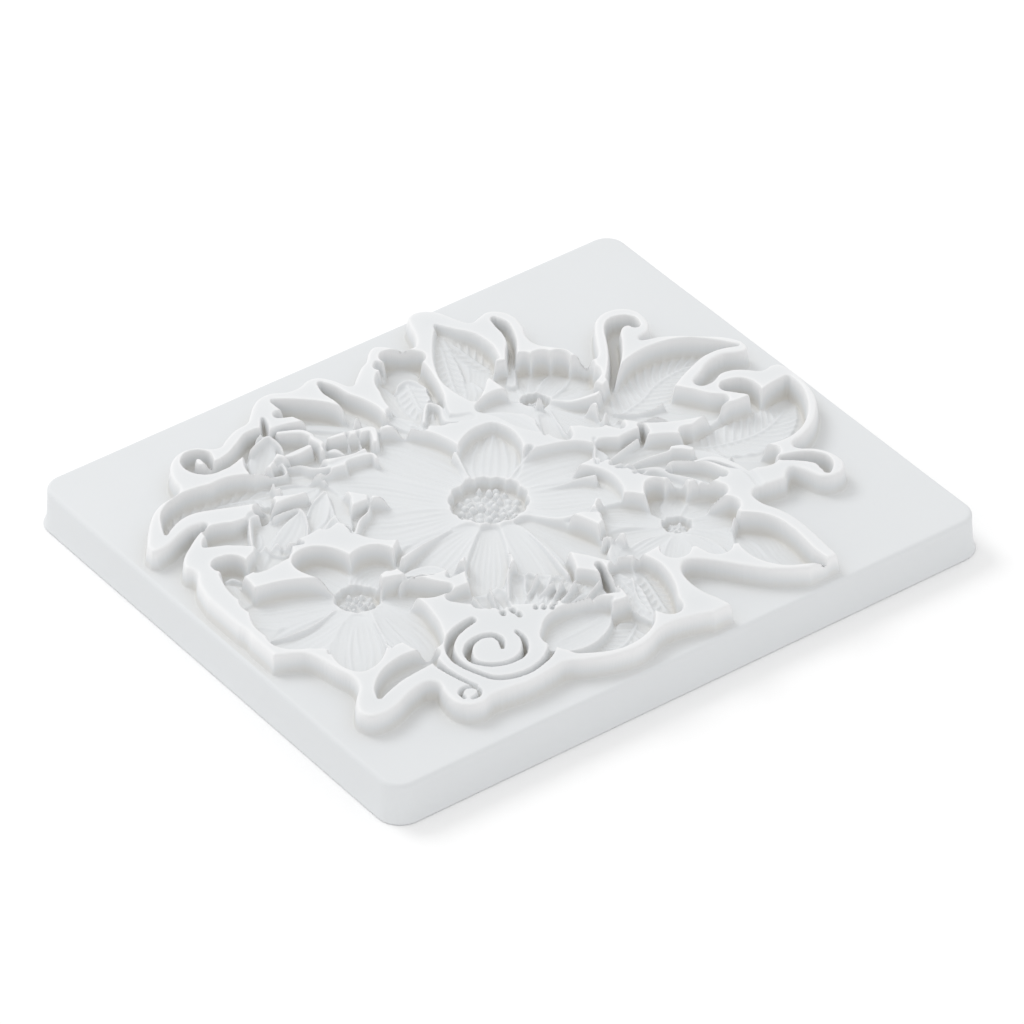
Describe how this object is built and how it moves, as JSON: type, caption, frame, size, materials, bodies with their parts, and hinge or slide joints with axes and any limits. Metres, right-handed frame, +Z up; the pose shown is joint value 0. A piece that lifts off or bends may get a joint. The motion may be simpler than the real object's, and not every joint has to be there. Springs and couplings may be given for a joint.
{
  "type": "soap mould",
  "caption": "Low rectangular silicone slab with a raised wall around a bouquet of flowers and scrolls, whose petals and leaves are sunk into it as shallow casting cavities.",
  "frame": {"origin": "centre of the flat underside", "axes": "+X along the longer side of the slab, +Y along its shorter side, +Z up, out of the open cavities"},
  "size_m": [0.12, 0.102, 0.0112],
  "materials": {
    "silicone": "matte"
  },
  "bodies": {
    "root": {"base_slab": "silicone", "left_leaves": "silicone", "upper_left_scroll": "silicone", "rose": "silicone", "back_leaves": "silicone", "bud_sprig": "silicone", "top_leaf": "silicone", "upper_flower": "silicone", "cane_scroll": "silicone", "right_leaf": "silicone", "right_scroll": "silicone", "lower_right_leaf": "silicone", "lower_right_hook": "silicone", "right_sprig": "silicone", "right_flower": "silicone", "bottom_right_leaf": "silicone", "bottom_leaf": "silicone", "aster": "silicone", "spiral": "silicone", "lower_left_leaf": "silicone", "left_flower": "silicone", "left_eye": "silicone", "left_buds": "silicone", "main_flower": "silicone"}
  },
  "joints": []
}
